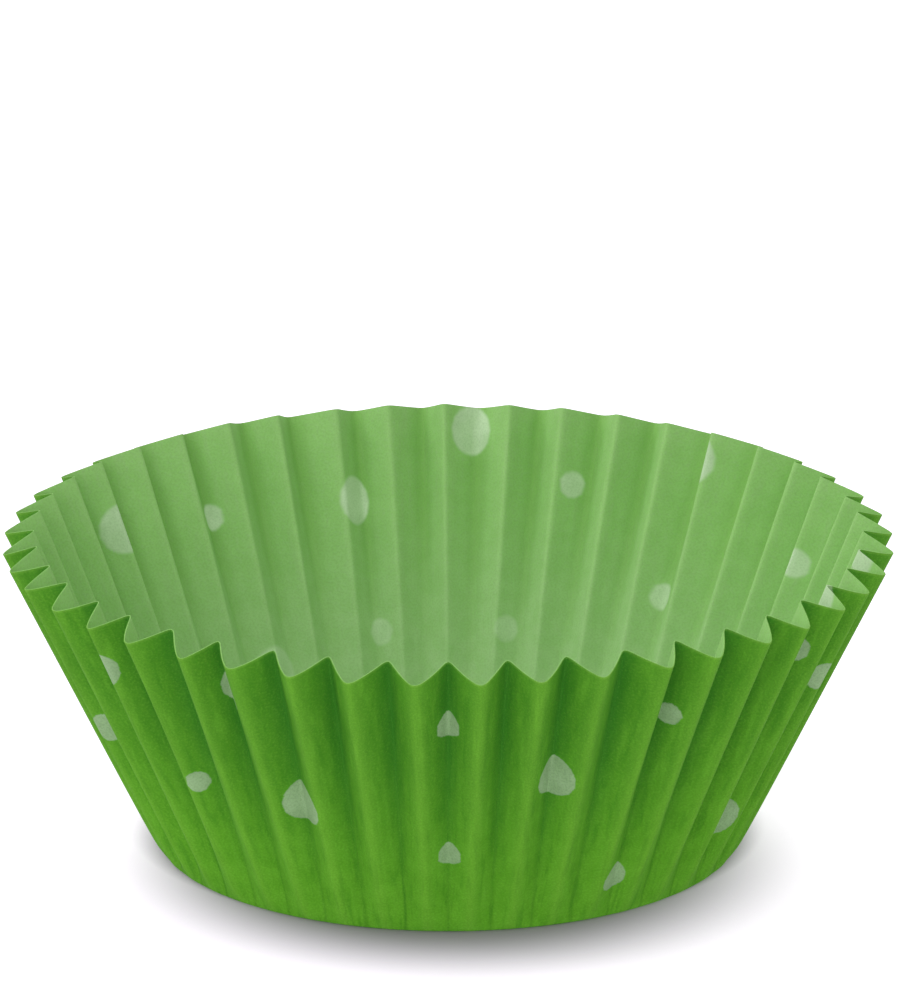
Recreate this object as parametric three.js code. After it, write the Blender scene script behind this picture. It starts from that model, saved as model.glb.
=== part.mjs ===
// A pleated baking cup, pressed from one flat disc of greaseproof paper.
// Units are millimetres and +Z is up.
// The origin is the middle of the base's underside, and the cup opens upwards.
import * as THREE from "three";

// Driving dimensions
const DISC_RADIUS = 55; // the flat disc of paper before it is pressed
const BASE_RADIUS = 25; // where the line of the wall meets the line of the base
const WALL_LEAN_DEGREES = 24.2; // the wall's mean lean from the vertical
const CORNER_RADIUS = 0.8; // the soft turn from the base into the wall
const PLEAT_COUNT = 44; // flutes around the wall
const PLEAT_DEPTH = 3.1; // from the inner to the outer folds at the rim, if both were sharp
const OUTER_FOLD_RADIUS = 0.4; // roundness of the folds that stand out
const INNER_FOLD_RADIUS = 0.2; // roundness of the folds that stand in
const PAPER_THICKNESS = 0.1;

// How finely the curves are cut into facets
const CORNER_STEPS = 3;
const WALL_STEPS = 5;
const WALL_STEP_GROWTH = 1.5; // over 1, the steps are closer near the base
const LEAST_FOLD_SHARE = 0.02; // of half a pleat, where a fold is still too flat to be round
const SLOPE_STEP = 1e-3; // distance over which the sheet's slopes are measured

// The printed side, matt and leaf green
const PAPER_GREEN = new THREE.Color("#4f8f27");
const PAPER_ROUGHNESS = 0.6;

// Values that follow from the driving dimensions
const wallLean = THREE.MathUtils.degToRad(WALL_LEAN_DEGREES);
const cornerTurn = Math.PI / 2 - wallLean;
const flatRadius = BASE_RADIUS - CORNER_RADIUS * Math.tan(cornerTurn / 2);
const wallStart = flatRadius + CORNER_RADIUS * cornerTurn;
const pleatAngle = (2 * Math.PI) / PLEAT_COUNT;
const halfThickness = PAPER_THICKNESS / 2;

// The cup's section without its pleats, at a distance along the paper from the disc's centre:
// radius and height of the middle of the sheet, and the direction that faces out of the cup
function section(along) {
  if (along <= flatRadius) {
    return { radius: along, height: halfThickness, outR: 0, outZ: -1 };
  }
  const turn = Math.min((along - flatRadius) / CORNER_RADIUS, cornerTurn);
  const wall = Math.max(along - wallStart, 0);
  return {
    radius: flatRadius + CORNER_RADIUS * Math.sin(turn) + wall * Math.sin(wallLean),
    height: halfThickness + CORNER_RADIUS * (1 - Math.cos(turn)) + wall * Math.cos(wallLean),
    outR: Math.sin(turn),
    outZ: -Math.cos(turn),
  };
}

// A ring of paper keeps its length when the wall draws it in to a smaller radius, and the pleats
// take up what the wall has no room for. This grows as they do, from nothing at the base's edge.
function spareHeight(along) {
  return Math.sqrt(Math.max(along ** 2 - section(along).radius ** 2, 0));
}

// Depth of the pleats, from the inner to the outer folds
function pleatDepth(along) {
  return (PLEAT_DEPTH * spareHeight(along)) / spareHeight(DISC_RADIUS);
}

// How far a fold's round bottom lies above the sharp crease that the two flanks would make,
// at a distance sideways from the crease. Past the round part this is the flank itself.
function foldHeight(sideways, flankAngle, foldRadius) {
  if (sideways >= foldRadius * Math.sin(flankAngle)) return sideways * Math.tan(flankAngle);
  return foldRadius / Math.cos(flankAngle) - Math.sqrt(foldRadius ** 2 - sideways ** 2);
}

// Where the sheet's middle lies, for a distance along the paper, an angle around the cup and a
// sideways distance from the nearest inner fold, as a share of half a pleat from 0 to 1
function sheetPoint(along, angle, share) {
  const { radius, height, outR, outZ } = section(along);
  const depth = pleatDepth(along);
  const halfWidth = (Math.PI * radius) / PLEAT_COUNT;
  const flankAngle = Math.atan2(depth, halfWidth);
  const fromInner = foldHeight(share * halfWidth, flankAngle, INNER_FOLD_RADIUS);
  const fromOuter = foldHeight((1 - share) * halfWidth, flankAngle, OUTER_FOLD_RADIUS);
  const outwards = share < 0.5 ? fromInner - depth / 2 : depth / 2 - fromOuter;
  const r = radius + outwards * outR;
  return new THREE.Vector3(r * Math.sin(angle), -r * Math.cos(angle), height + outwards * outZ);
}

// Share of half a pleat for an angle around the cup; an inner fold lies at angle 0
function shareAt(angle) {
  const pleats = angle / pleatAngle;
  return Math.abs(pleats - Math.round(pleats)) * 2;
}

// The sheet's direction out of the cup, from its slopes along and around it
function sheetNormal(along, angle) {
  const turn = SLOPE_STEP / along;
  const up = sheetPoint(along + SLOPE_STEP, angle, shareAt(angle));
  up.sub(sheetPoint(along - SLOPE_STEP, angle, shareAt(angle)));
  const around = sheetPoint(along, angle + turn, shareAt(angle + turn));
  around.sub(sheetPoint(along, angle - turn, shareAt(angle - turn)));
  return around.cross(up).normalize();
}

// Distances along the paper of the rings of vertices, from the base's edge to the rim.
// The wall's rings lie closer near the base, where the pleats deepen fastest.
function ringDistances() {
  const rings = [];
  for (let i = 0; i < CORNER_STEPS; i++) {
    rings.push(flatRadius + ((wallStart - flatRadius) * i) / CORNER_STEPS);
  }
  for (let i = 0; i <= WALL_STEPS; i++) {
    rings.push(wallStart + (DISC_RADIUS - wallStart) * (i / WALL_STEPS) ** WALL_STEP_GROWTH);
  }
  return rings;
}

// Angles of a ring's vertices: each fold's top and the two ends of its round part
function ringAngles(along) {
  const halfWidth = (Math.PI * section(along).radius) / PLEAT_COUNT;
  const roundShare = Math.sin(Math.atan2(pleatDepth(along), halfWidth)) / halfWidth;
  const inner = Math.max(INNER_FOLD_RADIUS * roundShare, LEAST_FOLD_SHARE);
  const outer = Math.max(OUTER_FOLD_RADIUS * roundShare, LEAST_FOLD_SHARE);
  const angles = [];
  for (let pleat = 0; pleat < PLEAT_COUNT; pleat++) {
    for (const share of [0, inner, 1 - outer, 1, 1 + outer, 2 - inner]) {
      angles.push((pleat + share / 2) * pleatAngle);
    }
  }
  return angles;
}

// The cup as one closed skin: its outside, its inside and the cut edge of the rim
function makeCupGeometry() {
  const rings = ringDistances();
  const positions = [];
  const columns = ringAngles(DISC_RADIUS).length;
  for (const side of [1, -1]) {
    for (const along of rings) {
      for (const angle of ringAngles(along)) {
        const flat = along <= flatRadius;
        const out = flat ? new THREE.Vector3(0, 0, -1) : sheetNormal(along, angle);
        const point = sheetPoint(along, angle, shareAt(angle));
        positions.push(...point.addScaledVector(out, side * halfThickness));
      }
    }
  }
  const insideStart = rings.length * columns;
  const outsideCentre = positions.length / 3;
  const insideCentre = outsideCentre + 1;
  positions.push(0, 0, 0, 0, 0, PAPER_THICKNESS);

  const faces = [];
  const lastRing = rings.length - 1;
  for (let c = 0; c < columns; c++) {
    const next = (c + 1) % columns;
    for (let r = 0; r < lastRing; r++) {
      const [a, b] = [r * columns + c, r * columns + next];
      const [d, e] = [a + columns, b + columns];
      faces.push(a, b, e, a, e, d);
      const i = insideStart;
      faces.push(i + a, i + e, i + b, i + a, i + d, i + e);
    }
    const [p, q] = [lastRing * columns + c, lastRing * columns + next];
    faces.push(p, q, insideStart + q, p, insideStart + q, insideStart + p);
    faces.push(outsideCentre, next, c);
    faces.push(insideCentre, insideStart + c, insideStart + next);
  }

  const geometry = new THREE.BufferGeometry();
  geometry.setAttribute("position", new THREE.Float32BufferAttribute(positions, 3));
  geometry.setIndex(faces);
  geometry.computeVertexNormals();
  return geometry;
}

const cup = new THREE.Mesh(
  makeCupGeometry(),
  new THREE.MeshStandardMaterial({
    color: PAPER_GREEN,
    roughness: PAPER_ROUGHNESS,
    metalness: 0,
  }),
);
cup.name = "baking_cup";

const part = new THREE.Group();
part.add(cup);

export default part;
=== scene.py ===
"""The looks of a pleated paper baking cup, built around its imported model.

The cup stands on z = 0, opens towards +Z, and shows the camera its -Y side. Angles around it
start there. Lengths are millimetres unless a comment says metres. Meshes are made in metres.
"""

import math

import bpy
import numpy as np
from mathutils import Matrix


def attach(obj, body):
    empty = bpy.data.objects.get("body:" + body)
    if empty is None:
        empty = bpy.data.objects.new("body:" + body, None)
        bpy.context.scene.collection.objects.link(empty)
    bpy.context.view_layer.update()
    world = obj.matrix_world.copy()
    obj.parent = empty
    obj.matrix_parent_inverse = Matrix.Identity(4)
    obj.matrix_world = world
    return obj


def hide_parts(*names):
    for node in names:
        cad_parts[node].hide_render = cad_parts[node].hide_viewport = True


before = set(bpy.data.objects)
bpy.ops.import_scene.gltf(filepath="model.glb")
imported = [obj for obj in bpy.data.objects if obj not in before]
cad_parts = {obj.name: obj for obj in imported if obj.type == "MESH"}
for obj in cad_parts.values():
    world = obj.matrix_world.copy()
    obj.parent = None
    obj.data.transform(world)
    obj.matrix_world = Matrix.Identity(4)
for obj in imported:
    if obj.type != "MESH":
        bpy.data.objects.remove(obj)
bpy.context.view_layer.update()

MM = 0.001

# The cup's dimensions, the same as in the model
DISC_RADIUS = 55.0  # the flat disc of paper before it is pressed
BASE_RADIUS = 25.0  # where the line of the wall meets the line of the base
WALL_LEAN = math.radians(24.2)  # from the vertical
CORNER_RADIUS = 0.8  # the soft turn from the base into the wall
PLEAT_COUNT = 44
PAPER_THICKNESS = 0.1

# The pleats. Their folds are softer than the model's, which are 3.1 deep if sharp, with radii
# of 0.4 and 0.2. Softer folds reach less far, so these are deeper behind their roundness.
PLEAT_DEPTH = 3.4  # from the inner to the outer folds at the rim, if both were sharp
OUTER_FOLD_RADIUS = 0.6  # roundness of the folds that stand out
INNER_FOLD_RADIUS = 0.5  # roundness of the folds that stand in
INNER_FOLD_EXTRA = 0.22  # how much further in the inner folds reach at the rim
LOBE_ROUNDNESS = 0.4  # how far the flanks bulge, from straight at 0 to a round lobe at 1
LOBE_HEIGHT = 0.9  # height of a round lobe, as a share of the pleats' depth
LOBE_SOFTNESS = 0.12  # keeps the inner fold between two round lobes from being sharp
PLEAT_START = 1.8  # distance from the flat base over which the pleats set in softly

# Values that follow from the dimensions
CORNER_TURN = math.pi / 2 - WALL_LEAN
FLAT_RADIUS = BASE_RADIUS - CORNER_RADIUS * math.tan(CORNER_TURN / 2)
WALL_START = FLAT_RADIUS + CORNER_RADIUS * CORNER_TURN
WALL_LENGTH = DISC_RADIUS - WALL_START
PLEAT_ANGLE = 2 * math.pi / PLEAT_COUNT
FOLD_COUNT = 2 * PLEAT_COUNT
HALF_THICKNESS = PAPER_THICKNESS / 2

# Where half a pleat has its columns of vertices, from its inner fold at 0 to its outer at 1
HALF_PLEAT_COLUMNS = (0, 0.045, 0.09, 0.16, 0.30, 0.46, 0.62, 0.77, 0.85, 0.93)
COLUMNS_PER_BASE_COLUMN = 4
CORNER_RINGS = 6
WALL_RINGS = 32
WALL_RING_GROWTH = 1.15  # over 1, the rings are closer near the base
BASE_RINGS = 29
SHARP_ANGLE = math.radians(60)  # edges that turn more than this aren't shaded as smooth

# How far a real pressed cup strays from the even shape
SHAPE_SEED = 7
FOLD_SHIFT = 0.055  # sideways, in pleats, at the rim
FOLD_FLATTENING = 0.07  # most that a fold is shallower than the others
FLANK_BOW = 0.09  # how far a flank bends between its folds, usually less
FLANK_BOW_LENGTH = 5.5  # along the paper, for each radian of the bow's wave
RIM_DROP, RIM_DROP_WAVE = 0.3, 0.3  # most that the rim dips, and the share of it that varies
WALL_WARP, WALL_WARP_WAVE = 0.08, 0.5  # the same for how far the wall leans in
DROP_WAVES = (2, 3, 5, 9, 14)  # times around the cup
WARP_WAVES = (2, 3, 4, 7)
ALL_PHASES = 6.28  # a whole wave, in radians

# Dots placed where the photograph shows them, and four more, the last, out of its sight:
# distance past BASE_RADIUS along the paper, angle around the cup in degrees, and radius
PLACED_DOTS = (
    (23.2, 0.0, 1.4),
    (8.6, 0.2, 1.2),
    (17.0, 16.8, 2.1),
    (13.5, -24.0, 2.2),
    (14.0, -43.5, 1.1),
    (25.4, -53.6, 1.7),
    (15.3, -68.0, 1.4),
    (25.3, -31.8, 1.8),
    (4.4, 31.8, 1.4),
    (22.5, 34.0, 1.1),
    (7.3, 57.4, 1.9),
    (25.2, 58.3, 1.3),
    (21.1, 68.8, 1.4),
    (29.2, 65.0, 1.3),
    (29.4, 81.0, 1.2),
    (22.0, 114.0, 1.3),
    (8.0, 84.0, 1.2),
    (19.0, 91.0, 2.2),
    (11.0, 108.0, 2.2),
    (5.5, 124.0, 1.2),
)
# The wall between these angles has only the dots placed above
PLACED_FROM, PLACED_TO = math.radians(-95), math.radians(133)

# Dots scattered over the rest of the disc
SMALL_DOT_RADIUS = 1.2
LARGE_DOT_RADIUS = 2.2
LARGE_DOT_SHARE = 0.45
DOT_SPACING = 11.5  # least distance between the middles of two dots
DOT_TRIES = 4000
DOT_SEED = 11

# Noise in the paper: scale per millimetre, detail and roughness
CLOUDS = (0.5, 3.0, 0.6)
FIBRES = (3.2, 3.0, 0.65)
GRAIN = (5.5, 2.0, 0.6)
STREAKS = (1.0, 2.0, 0.6)
STREAK_SCALE = (60, 60, 0.22)  # many streaks around the cup, each long up the wall

# Colours of the printed side, as on screen from 0 to 255, among them painted highlights and
# painted shade
GREEN_DIM, GREEN_BRIGHT = (98, 167, 37), (109, 178, 45)
# Painted shade: the wall darker towards the rim, and so lighter low down, where it stands in
# for light from the floor
GREEN_SHADED_UP_WALL = (74, 141, 33)
GREEN_FIBRE = (122, 186, 56)
GREEN_PALE_STREAK, GREEN_DARK_STREAK = (112, 180, 52), (58, 130, 24)
# Painted highlight along the outer folds
GREEN_OUTER_FOLD_HIGHLIGHT = (126, 183, 60)
# Painted shade in the inner folds, darker still in their creases
GREEN_INNER_FOLD_SHADE, GREEN_INNER_CREASE_SHADE = (46, 128, 38), (36, 100, 20)
DOT_DIM, DOT_BRIGHT = (150, 179, 136), (163, 191, 149)
PRINT_DARK_GRAIN, PRINT_PALE_GRAIN = (52, 104, 22), (146, 200, 84)
# Painted highlight along the rim's edge
RIM_EDGE_HIGHLIGHT = (156, 204, 92)

# Colours of the inner side, where the print shows through, with painted shade and a painted
# highlight at the folds
PALE_LOW, PALE_HIGH = (190, 224, 166), (175, 226, 138)
PALE_CLOUD = (158, 212, 120)
PALE_FIBRE = (188, 220, 166)
PALE_STREAK = (180, 218, 150)
# Painted shade, a darker green, at the outer folds, and a painted highlight at the inner folds
PALE_OUTER_FOLD_SHADE, PALE_INNER_FOLD_HIGHLIGHT = (118, 178, 62), (192, 224, 166)
PALE_DOT_DIM, PALE_DOT_BRIGHT = (210, 236, 194), (222, 244, 208)
PALE_DARK_GRAIN = (96, 148, 60)

DOT_RAGGED = 0.06  # how far the grain moves a dot's edge
DOT_BLUR = 0.07  # half the width of a dot's edge
DOT_BLUR_INSIDE = 0.22  # the same where it shows through on the inside
DOT_FAINT = 0.45  # share of a dot that shows through near the base, against 1 at the rim

# Other looks of the paper
PAPER_ROUGHNESS = (0.74, 0.88)
PAPER_GLOSS = 0.12
PAPER_THROUGH = 0.22  # share of the light that goes through
BUMP_STRENGTH = 0.5
BUMP_HEIGHT = 0.00007  # metres
BUMP_SHARES = (0.6, 0.25, 1.2, 1.0)  # of the fibres, the grain, the clouds and the streaks

# The floor, in metres. To the plain light that falls on the cup it is a pale table with a soft
# glow. To the camera, to gloss and to light through the paper it is a darker floor under a
# white glow. That glow is held back close around the base, which leaves the soft shade that
# the photograph shows there. It grows from nothing to full between two distances from the
# shade's middle, and between two from the base's middle, set to match the photograph.
FLOOR_REACH = 6.0
TABLE_COLOUR = (0.85, 0.85, 0.85, 1)
TABLE_GLOW = 0.35
SEEN_COLOUR = (0.50, 0.40, 0.55, 1)
SEEN_GLOW = 0.88
SHADE_MIDDLE = (0.0004, -0.0078, 0)
SHADE_EDGE = (0.0165, 0.0330)
CONTACT_EDGE = (0.0235, 0.0290)

# Light. The lamps have a name, a place and a width in metres, and a power in watts.
WHITE = (1, 1, 1, 1)
WORLD_LIGHT = 0.6
WORLD_SEEN = 1.0
LAMPS = (
    ("key", (-0.45, 0.15, 1.0), 0.9, 7),
    ("fill", (-0.27, -1.15, 0.45), 0.6, 2.7),
)
LAMP_TARGET = (0, 0, 0.02)

# Camera, as found from the rim, the base and the walls of the photographed cup
CAMERA_DISTANCE = 1500.0
CAMERA_ELEVATION = math.radians(18.078)
CAMERA_SIDEWAYS = 0.065
CAMERA_RISE = 29.195
CAMERA_LENS = 622.06
CAMERA_SENSOR = 36
CAMERA_CLIP = (0.1, 20)  # metres


def section(along):
    """Radius, height and outward direction of the middle of the sheet, without its pleats."""
    turn = np.clip((along - FLAT_RADIUS) / CORNER_RADIUS, 0, CORNER_TURN)
    flat = np.minimum(along, FLAT_RADIUS)
    wall = np.maximum(along - WALL_START, 0)
    radius = flat + CORNER_RADIUS * np.sin(turn) + wall * math.sin(WALL_LEAN)
    height = CORNER_RADIUS * (1 - np.cos(turn)) + wall * math.cos(WALL_LEAN)
    return radius, HALF_THICKNESS + height, np.sin(turn), -np.cos(turn)


def spare_height(along):
    """Grows with the paper that a ring of the disc has to spare where the wall draws it in."""
    return np.sqrt(np.maximum(along**2 - section(along)[0] ** 2, 0))


def pleat_growth(along):
    """How deep the pleats are, as a share of their depth at the rim."""
    start = np.clip((along - FLAT_RADIUS) / PLEAT_START, 0, 1)
    return spare_height(along) / spare_height(DISC_RADIUS) * start**2 * (3 - 2 * start)


def fold_height(sideways, flank_angle, fold_radius):
    """Height of a rounded fold over its sharp crease, at a distance sideways from it."""
    inside = np.minimum(sideways, fold_radius * np.sin(flank_angle))
    curve = fold_radius / np.cos(flank_angle) - np.sqrt(fold_radius**2 - inside**2)
    flank = sideways * np.tan(flank_angle)
    return np.where(sideways >= fold_radius * np.sin(flank_angle), flank, curve)


def smooth_wave(angle, waves, rng):
    """A gentle random wave around the cup, from -1 to 1."""
    total = sum(
        rng.uniform(0.4, 1) * np.sin(n * angle + rng.uniform(0, ALL_PHASES)) for n in waves
    )
    return total / np.abs(total).max()


def wall_sheet(alongs):
    """The middle of the folded sheet, for each distance along the paper and each column.

    Gives the points, their distances along the paper, their angles before the folds stray,
    and how far they are from an inner fold at 0 to an outer fold at 1.
    """
    rng = np.random.default_rng(SHAPE_SEED)
    half = np.array(HALF_PLEAT_COLUMNS)
    across = np.concatenate([half, 2 - np.append(half[1:], 1.0)[::-1]])
    pleat = np.repeat(np.arange(PLEAT_COUNT), len(across))
    across = np.tile(across, PLEAT_COUNT)
    share = np.where(across <= 1, across, 2 - across)
    plain_angle = (pleat + across / 2) * PLEAT_ANGLE

    # Each fold strays by itself, and the sheet between two folds follows both
    fold = 2 * pleat + (across > 1)
    next_fold = (fold + 1) % FOLD_COUNT
    into = np.where(across > 1, across - 1, across)
    shifts = rng.normal(0, FOLD_SHIFT, FOLD_COUNT)
    flats = rng.uniform(0, FOLD_FLATTENING, FOLD_COUNT)
    shift = shifts[fold] * (1 - into) + shifts[next_fold] * into
    flat = flats[fold] * (1 - into) + flats[next_fold] * into
    bow = rng.normal(0, FLANK_BOW, FOLD_COUNT)[fold] * np.sin(math.pi * share)
    bow_phase = rng.uniform(0, ALL_PHASES, FOLD_COUNT)[fold]
    drop_wave = smooth_wave(plain_angle, DROP_WAVES, rng)
    warp_wave = smooth_wave(plain_angle, WARP_WAVES, rng)
    drop = RIM_DROP * (1 - RIM_DROP_WAVE + RIM_DROP_WAVE * drop_wave)
    warp = WALL_WARP * (1 - WALL_WARP_WAVE + WALL_WARP_WAVE * warp_wave)

    # How far the sheet stands out from its section: straight flanks between rounded folds,
    # turned a little to round lobes, with deeper inner folds
    a = alongs[:, None]
    growth = pleat_growth(a)
    radius, height, out_r, out_z = section(a)
    depth = PLEAT_DEPTH * growth
    half_width = math.pi * radius / PLEAT_COUNT
    flank_angle = np.arctan2(depth, half_width)
    from_inner = fold_height(share * half_width, flank_angle, INNER_FOLD_RADIUS)
    from_outer = fold_height((1 - share) * half_width, flank_angle, OUTER_FOLD_RADIUS)
    outwards = np.where(share < 0.5, from_inner - depth / 2, depth / 2 - from_outer)
    soft = np.hypot(share, LOBE_SOFTNESS) - LOBE_SOFTNESS
    lobes = depth * (LOBE_HEIGHT * np.sin(math.pi * soft / 2) - 0.5)
    outwards = outwards + (lobes - outwards) * LOBE_ROUNDNESS
    outwards = outwards * (1 - flat) - INNER_FOLD_EXTRA * growth * (1 - share) ** 2
    outwards = outwards + bow * growth * np.cos(a / FLANK_BOW_LENGTH + bow_phase)

    angle = plain_angle + shift * PLEAT_ANGLE * growth
    up_wall = np.clip((a - WALL_START) / WALL_LENGTH, 0, 1)
    r = radius - warp * up_wall + outwards * out_r
    z = height - drop * up_wall**2 + outwards * out_z
    points = np.stack([r * np.sin(angle), -r * np.cos(angle), z], axis=-1)
    return points, *(np.broadcast_to(values, r.shape) for values in (a, plain_angle, share))


def sheet_normals(points):
    """Directions out of the cup at each point of the wall's grid."""
    around = np.roll(points, -1, axis=1) - np.roll(points, 1, axis=1)
    up = np.gradient(points, axis=0)
    out = np.cross(around, up)
    return out / np.linalg.norm(out, axis=-1, keepdims=True)


def all_dots():
    """Middle and radius of each printed dot on the flat disc."""
    dots = []
    for up, degrees, size in PLACED_DOTS:
        angle = math.radians(degrees)
        along = BASE_RADIUS + up
        dots.append((along * math.sin(angle), -along * math.cos(angle), size))
    rng = np.random.default_rng(DOT_SEED)
    for _ in range(DOT_TRIES):
        x, y = rng.uniform(-DISC_RADIUS, DISC_RADIUS, 2)
        size = LARGE_DOT_RADIUS if rng.random() < LARGE_DOT_SHARE else SMALL_DOT_RADIUS
        along = math.hypot(x, y)
        on_wall = along > BASE_RADIUS - LARGE_DOT_RADIUS
        placed = on_wall and PLACED_FROM < math.atan2(x, -y) < PLACED_TO
        if along > DISC_RADIUS or placed:
            continue
        if min(math.hypot(x - u, y - v) for u, v, _ in dots) > DOT_SPACING:
            dots.append((x, y, size))
    return dots


def distance_to_print(x, y):
    """Distance from the nearest printed dot's edge, less than 0 within a dot."""
    nearest = np.full(x.shape, DISC_RADIUS)
    for u, v, size in all_dots():
        nearest = np.minimum(nearest, np.hypot(x - u, y - v) - size)
    return nearest


def ring_distances():
    """Distances along the paper of the rings of vertices, from the flat base's edge up."""
    corner = np.linspace(FLAT_RADIUS, WALL_START, CORNER_RINGS, endpoint=False)
    steps = np.linspace(0, 1, WALL_RINGS + 1) ** WALL_RING_GROWTH
    return np.concatenate([corner, WALL_START + WALL_LENGTH * steps])


def strip_faces(start, rings, columns):
    """Four-sided faces of a grid of vertices that closes around the cup."""
    faces = []
    for c in range(columns):
        n = (c + 1) % columns
        for r in range(rings - 1):
            a, b = start + r * columns + c, start + r * columns + n
            faces.append((a, b, b + columns, a + columns))
    return faces


def side_faces(start, rings, columns):
    """Faces of one side. Its vertices are the wall's, the base's and the base's centre."""
    base_columns = columns // COLUMNS_PER_BASE_COLUMN
    base_start = start + rings * columns
    base_edge = base_start + (BASE_RINGS - 1) * base_columns
    centre = base_edge + base_columns
    faces = strip_faces(start, rings, columns)
    faces += strip_faces(base_start, BASE_RINGS, base_columns)
    middle = COLUMNS_PER_BASE_COLUMN // 2
    for c in range(base_columns):
        n = (c + 1) % base_columns
        faces.append((centre, base_start + n, base_start + c))
        # The base's edge joins the wall's first ring, which has more columns
        p, q = base_edge + c, base_edge + n
        first = c * COLUMNS_PER_BASE_COLUMN
        wall = [start + (first + i) % columns for i in range(COLUMNS_PER_BASE_COLUMN + 1)]
        for i in range(COLUMNS_PER_BASE_COLUMN):
            faces.append((p if i < middle else q, wall[i + 1], wall[i]))
        faces.append((p, q, wall[middle]))
    return faces


def make_cup():
    """The cup as one closed skin: its outside, its inside and the cut edge of the rim."""
    middle, along, flat_angle, share = wall_sheet(ring_distances())
    out = sheet_normals(middle)
    out[0] = (0, 0, -1)
    rings, columns = share.shape
    base_radii = FLAT_RADIUS * np.arange(1, BASE_RINGS + 1) / (BASE_RINGS + 1)
    base_angle = flat_angle[0, ::COLUMNS_PER_BASE_COLUMN]
    base_x = base_radii[:, None] * np.sin(base_angle)
    base_y = -base_radii[:, None] * np.cos(base_angle)

    vertices = []
    for side in (1, -1):
        level = HALF_THICKNESS * (1 - side)
        base = np.stack([base_x, base_y, np.full_like(base_x, level)], axis=-1)
        vertices += [(middle + out * side * HALF_THICKNESS).reshape(-1, 3), base.reshape(-1, 3)]
        vertices.append(np.array([[0, 0, level]]))

    # The rim's cut edge joins the last rings of both sides
    side_size = rings * columns + base_x.size + 1
    faces = side_faces(0, rings, columns)
    faces += [tuple(reversed(face)) for face in side_faces(side_size, rings, columns)]
    last = (rings - 1) * columns
    for c in range(columns):
        a, b = last + c, last + (c + 1) % columns
        faces.append((a, b, side_size + b, side_size + a))

    mesh = bpy.data.meshes.new("paper_cup")
    mesh.from_pydata((np.concatenate(vertices) * MM).tolist(), [], faces)
    mesh.validate()

    # What the material needs to know of each vertex: its place on the flat sheet, its place
    # around and along the sheet, its distance from the print, its place between the folds,
    # and the side that it is on
    x = np.concatenate([(along * np.sin(flat_angle)).ravel(), base_x.ravel(), [0]])
    y = np.concatenate([(-along * np.cos(flat_angle)).ravel(), base_y.ravel(), [0]])
    around = np.concatenate([flat_angle.ravel(), np.zeros(base_x.size + 1)])
    fold = np.concatenate([share.ravel(), np.full(base_x.size + 1, 0.5)])
    for name, values in (
        ("print", np.tile(distance_to_print(x, y), 2)),
        ("fold", np.tile(fold, 2)),
        ("inside", np.repeat([0.0, 1.0], side_size)),
    ):
        attribute = mesh.attributes.new(name, "FLOAT", "POINT")
        attribute.data.foreach_set("value", values.astype(np.float32))
    for name, values in (
        ("sheet", (x, y, np.zeros_like(x))),
        ("strip", (np.sin(around), np.cos(around), np.hypot(x, y))),
    ):
        attribute = mesh.attributes.new(name, "FLOAT_VECTOR", "POINT")
        both = np.tile(np.stack(values, axis=-1), (2, 1))
        attribute.data.foreach_set("vector", both.astype(np.float32).ravel())

    mesh.polygons.foreach_set("use_smooth", [True] * len(mesh.polygons))
    mesh.set_sharp_from_angle(angle=SHARP_ANGLE)
    mesh.update()
    cup = bpy.data.objects.new("paper_cup", mesh)
    bpy.context.scene.collection.objects.link(cup)
    return cup


def srgb(red, green, blue):
    """A colour written as on screen, from 0 to 255, as the shader needs it."""
    parts = []
    for value in (red, green, blue):
        v = value / 255
        parts.append(v / 12.92 if v <= 0.04045 else ((v + 0.055) / 1.055) ** 2.4)
    return (*parts, 1.0)


class Nodes:
    """Adds nodes to a material or a world in few words."""

    def __init__(self, owner):
        owner.use_nodes = True
        self.nodes = owner.node_tree.nodes
        self.links = owner.node_tree.links
        self.nodes.clear()

    def node(self, kind, inputs=None, **settings):
        made = self.nodes.new(kind)
        for key, value in settings.items():
            setattr(made, key, value)
        for key, value in (inputs or {}).items():
            if isinstance(value, bpy.types.NodeSocket):
                self.links.new(value, made.inputs[key])
            else:
                made.inputs[key].default_value = value
        return made

    def attribute(self, name, output):
        return self.node("ShaderNodeAttribute", attribute_name=name).outputs[output]

    def noise(self, vector, scale, detail, rough):
        inputs = {"Vector": vector, "Scale": scale, "Detail": detail, "Roughness": rough}
        return self.node("ShaderNodeTexNoise", inputs).outputs["Fac"]

    def ramp(self, value, low, high, to_low=0.0, to_high=1.0, smooth=True):
        inputs = {0: value, 1: low, 2: high, 3: to_low, 4: to_high}
        kind = "SMOOTHSTEP" if smooth else "LINEAR"
        return self.node("ShaderNodeMapRange", inputs, interpolation_type=kind).outputs[0]

    def math(self, operation, first, second):
        inputs = {0: first, 1: second}
        return self.node("ShaderNodeMath", inputs, operation=operation).outputs[0]

    def distance(self, first, second):
        inputs = {0: first, 1: second}
        made = self.node("ShaderNodeVectorMath", inputs, operation="DISTANCE")
        return made.outputs["Value"]

    def mix(self, amount, first, second):
        """One colour turned to another. Each is a socket, or as it is written on screen."""
        inputs = {0: amount}
        for key, colour in ((6, first), (7, second)):
            inputs[key] = srgb(*colour) if isinstance(colour, tuple) else colour
        return self.node("ShaderNodeMix", inputs, data_type="RGBA").outputs[2]

    def layers(self, colour, *layers):
        """A colour under layers, each with a place from 0 to 1, a strength and its colour."""
        for place, strength, layer_colour in layers:
            colour = self.mix(self.math("MULTIPLY", place, strength), colour, layer_colour)
        return colour

    def glow(self, strength):
        inputs = {"Color": WHITE, "Strength": strength}
        return self.node("ShaderNodeEmission", inputs).outputs[0]

    def seen(self):
        """1 for what the camera sees, also in gloss or through something; otherwise 0."""
        path = self.node("ShaderNodeLightPath").outputs
        seen = self.math("MAXIMUM", path["Is Camera Ray"], path["Is Glossy Ray"])
        return self.math("MAXIMUM", seen, path["Is Transmission Ray"])


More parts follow.
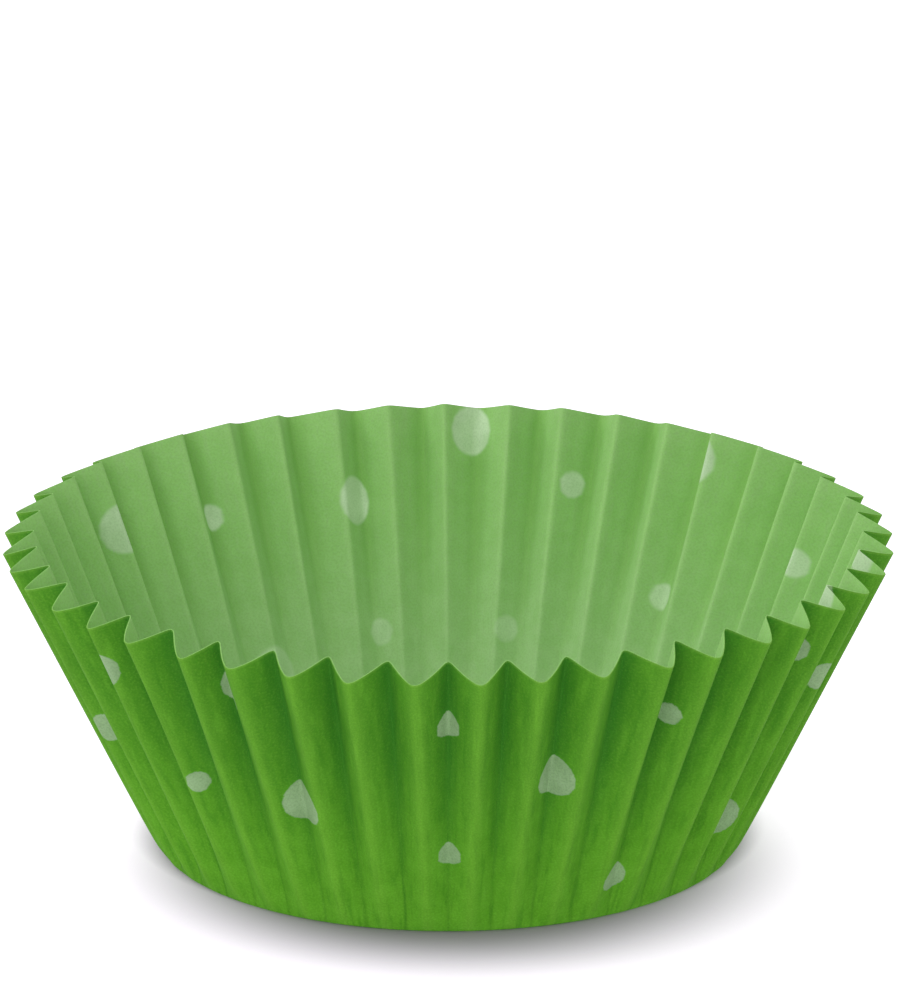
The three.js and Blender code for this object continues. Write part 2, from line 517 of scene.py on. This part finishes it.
def paper_material():
    """Green print with white dots outside, and paler inside, where it shows through."""
    material = bpy.data.materials.new("greaseproof_paper")
    s = Nodes(material)
    sheet = s.attribute("sheet", "Vector")
    strip = s.attribute("strip", "Vector")
    to_print = s.attribute("print", "Fac")
    fold = s.attribute("fold", "Fac")
    inside = s.attribute("inside", "Fac")

    clouds = s.noise(sheet, *CLOUDS)
    fibres = s.noise(sheet, *FIBRES)
    grain = s.noise(sheet, *GRAIN)
    long_strip = s.node("ShaderNodeMapping", {"Vector": strip, "Scale": STREAK_SCALE})
    streaks = s.noise(long_strip.outputs[0], *STREAKS)
    along = s.node("ShaderNodeSeparateXYZ", {"Vector": strip}).outputs["Z"]
    up_wall = s.ramp(along, BASE_RADIUS + 1, DISC_RADIUS - 6)
    at_rim = s.ramp(along, DISC_RADIUS - 0.3, DISC_RADIUS - 0.02)
    bright = s.ramp(clouds, 0.3, 0.7)

    # The print is crisp on the outside, and softer where it shows through on the inside
    edge = s.ramp(grain, 0.3, 0.7, -DOT_RAGGED, DOT_RAGGED, smooth=False)
    ragged = s.math("ADD", to_print, edge)
    dot_outside = s.ramp(ragged, DOT_BLUR, -DOT_BLUR)
    dot_inside = s.ramp(ragged, DOT_BLUR_INSIDE, -DOT_BLUR_INSIDE)

    # Painted shade in the inner folds, stronger towards the rim
    inner_fold_shade = s.math("MULTIPLY", s.ramp(fold, 0.55, 0.0), up_wall)
    green = s.layers(
        s.mix(bright, GREEN_DIM, GREEN_BRIGHT),
        # painted shade, darker towards the rim
        (up_wall, 0.75, GREEN_SHADED_UP_WALL),
        (s.ramp(fibres, 0.42, 0.8), 0.25, GREEN_FIBRE),
        (s.ramp(streaks, 0.5, 0.72), 0.42, GREEN_PALE_STREAK),
        (s.ramp(streaks, 0.5, 0.3), 0.35, GREEN_DARK_STREAK),
        # painted highlight on the outer folds
        (s.ramp(fold, 0.55, 1.0), 0.32, GREEN_OUTER_FOLD_HIGHLIGHT),
        # painted shade in the inner folds
        (inner_fold_shade, 0.6, GREEN_INNER_FOLD_SHADE),
        # painted shade in the inner folds' creases
        (s.ramp(fold, 0.16, 0.0), 0.25, GREEN_INNER_CREASE_SHADE),
    )
    white = s.mix(bright, DOT_DIM, DOT_BRIGHT)
    outside_colour = s.layers(
        s.mix(dot_outside, green, white),
        (s.ramp(grain, 0.6, 0.35), 0.2, PRINT_DARK_GRAIN),
        (s.ramp(grain, 0.5, 0.75), 0.16, PRINT_PALE_GRAIN),
        # painted highlight along the rim's edge
        (at_rim, 0.2, RIM_EDGE_HIGHLIGHT),
    )

    # Painted shade: a darker green inside at the outer folds, stronger towards the rim
    outer_fold_shade = s.math("MULTIPLY", s.ramp(fold, 0.5, 1.0), up_wall)
    pale = s.layers(
        s.mix(up_wall, PALE_LOW, PALE_HIGH),
        (s.ramp(clouds, 0.65, 0.35), 0.3, PALE_CLOUD),
        (s.ramp(fibres, 0.42, 0.8), 0.35, PALE_FIBRE),
        (s.ramp(streaks, 0.5, 0.75), 0.35, PALE_STREAK),
        # painted shade at the outer folds
        (outer_fold_shade, 0.4, PALE_OUTER_FOLD_SHADE),
        # painted highlight at the inner folds
        (s.ramp(fold, 0.35, 0.0), 0.08, PALE_INNER_FOLD_HIGHLIGHT),
    )
    pale_dot = s.mix(bright, PALE_DOT_DIM, PALE_DOT_BRIGHT)
    faint_dot = s.math("MULTIPLY", dot_inside, s.ramp(up_wall, 0.0, 1.0, DOT_FAINT, 1.0))
    inside_colour = s.layers(
        s.mix(faint_dot, pale, pale_dot),
        (s.ramp(grain, 0.6, 0.35), 0.12, PALE_DARK_GRAIN),
    )
    colour = s.mix(inside, outside_colour, inside_colour)

    noises = zip((fibres, grain, clouds, streaks), BUMP_SHARES)
    height, *more = [s.math("MULTIPLY", noise, share) for noise, share in noises]
    for part in more:
        height = s.math("ADD", height, part)
    bump = {"Strength": BUMP_STRENGTH, "Distance": BUMP_HEIGHT, "Height": height}
    normal = s.node("ShaderNodeBump", bump).outputs["Normal"]
    settings = {
        "Base Color": colour,
        "Roughness": s.ramp(fibres, 0.3, 0.7, *PAPER_ROUGHNESS, smooth=False),
        "Specular IOR Level": PAPER_GLOSS,
        "Normal": normal,
    }
    paper = s.node("ShaderNodeBsdfPrincipled", settings).outputs[0]
    through = s.node("ShaderNodeBsdfTranslucent", {"Color": colour, "Normal": normal})
    shaders = {0: PAPER_THROUGH, 1: paper, 2: through.outputs[0]}
    mixed = s.node("ShaderNodeMixShader", shaders)
    s.node("ShaderNodeOutputMaterial", {"Surface": mixed.outputs[0]})
    return material


def floor_material():
    """A pale table to the light, and to the camera white but for the shade around the base."""
    material = bpy.data.materials.new("floor")
    s = Nodes(material)
    table = s.node("ShaderNodeBsdfDiffuse", {"Color": TABLE_COLOUR}).outputs[0]
    plain = s.node("ShaderNodeAddShader", {0: table, 1: s.glow(TABLE_GLOW)}).outputs[0]

    place = s.node("ShaderNodeNewGeometry").outputs["Position"]
    shade = s.ramp(s.distance(place, SHADE_MIDDLE), *SHADE_EDGE, 0.0, SEEN_GLOW)
    contact = s.ramp(s.distance(place, (0, 0, 0)), *CONTACT_EDGE, 0.0, SEEN_GLOW)
    glow = s.glow(s.math("MINIMUM", shade, contact))
    dark = s.node("ShaderNodeBsdfDiffuse", {"Color": SEEN_COLOUR}).outputs[0]
    shown = s.node("ShaderNodeAddShader", {0: dark, 1: glow}).outputs[0]

    mixed = s.node("ShaderNodeMixShader", {0: s.seen(), 1: plain, 2: shown})
    s.node("ShaderNodeOutputMaterial", {"Surface": mixed.outputs[0]})
    # A glow as wide as this isn't aimed at as a lamp, which would only add noise
    material.cycles.emission_sampling = "NONE"
    return material


def make_floor():
    mesh = bpy.data.meshes.new("floor")
    sides = ((-1, -1), (1, -1), (1, 1), (-1, 1))
    corners = [(x * FLOOR_REACH, y * FLOOR_REACH, 0) for x, y in sides]
    mesh.from_pydata(corners, [], [(0, 1, 2, 3)])
    floor = bpy.data.objects.new("floor", mesh)
    bpy.context.scene.collection.objects.link(floor)
    mesh.materials.append(floor_material())


def make_world():
    """Even white light, at full white where the camera sees it."""
    world = bpy.data.worlds.new("studio")
    bpy.context.scene.world = world
    s = Nodes(world)
    strength = s.ramp(s.seen(), 0.0, 1.0, WORLD_LIGHT, WORLD_SEEN, smooth=False)
    background = s.node("ShaderNodeBackground", {"Color": WHITE, "Strength": strength})
    s.node("ShaderNodeOutputWorld", {"Surface": background.outputs[0]})


def area_light(name, place, width, power):
    data = bpy.data.lights.new(name, "AREA")
    data.size = width
    data.energy = power
    light = bpy.data.objects.new(name, data)
    bpy.context.scene.collection.objects.link(light)
    light.location = place
    x, y, z = np.array(LAMP_TARGET) - np.array(place)
    light.rotation_euler = (math.atan2(math.hypot(x, y), -z), 0, math.atan2(-x, y))


def make_camera():
    data = bpy.data.cameras.new("camera")
    data.lens = CAMERA_LENS
    data.sensor_width = CAMERA_SENSOR
    data.clip_start, data.clip_end = CAMERA_CLIP
    camera = bpy.data.objects.new("camera", data)
    bpy.context.scene.collection.objects.link(camera)
    lean, back, rise = CAMERA_ELEVATION, CAMERA_DISTANCE, CAMERA_RISE
    camera.location = (
        CAMERA_SIDEWAYS * MM,
        (-back * math.cos(lean) + rise * math.sin(lean)) * MM,
        (back * math.sin(lean) + rise * math.cos(lean)) * MM,
    )
    camera.rotation_euler = (math.pi / 2 - lean, 0, 0)
    bpy.context.scene.camera = camera


bpy.context.scene.view_settings.view_transform = "Standard"
make_camera()
make_world()
make_floor()
for lamp in LAMPS:
    area_light(*lamp)

cup = make_cup()
cup.data.materials.append(paper_material())
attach(cup, "root")
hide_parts("baking_cup")
